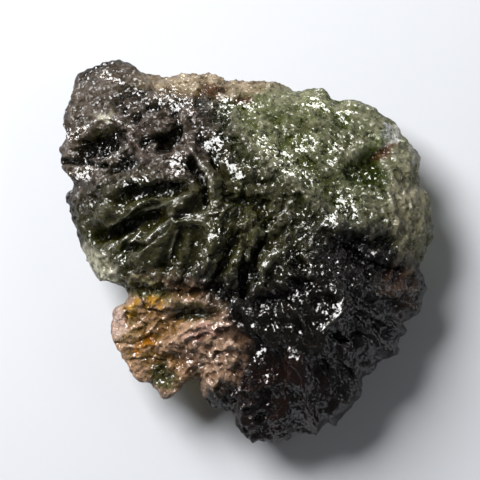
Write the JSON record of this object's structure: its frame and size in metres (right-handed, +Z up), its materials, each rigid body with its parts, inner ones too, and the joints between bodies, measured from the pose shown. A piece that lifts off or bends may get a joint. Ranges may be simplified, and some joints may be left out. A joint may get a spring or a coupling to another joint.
{
  "type": "moldavite",
  "caption": "Flat rough piece of natural dark green glass with a deeply etched face of pits, troughs and sharp ridges, a thin side lobe and a chipped thin edge.",
  "frame": {"origin": "on the surface that the stone rests on, under the middle of its box", "axes": "+Z up out of the etched face, +Y towards the end with the knob, +X towards the side away from the lobe"},
  "size_m": [0.028, 0.0288, 0.0087],
  "materials": {
    "moldavite_glass": "etched glossy natural glass, dark olive green, see-through only where it is thin"
  },
  "bodies": {
    "root": {"moldavite": "moldavite_glass"}
  },
  "joints": []
}
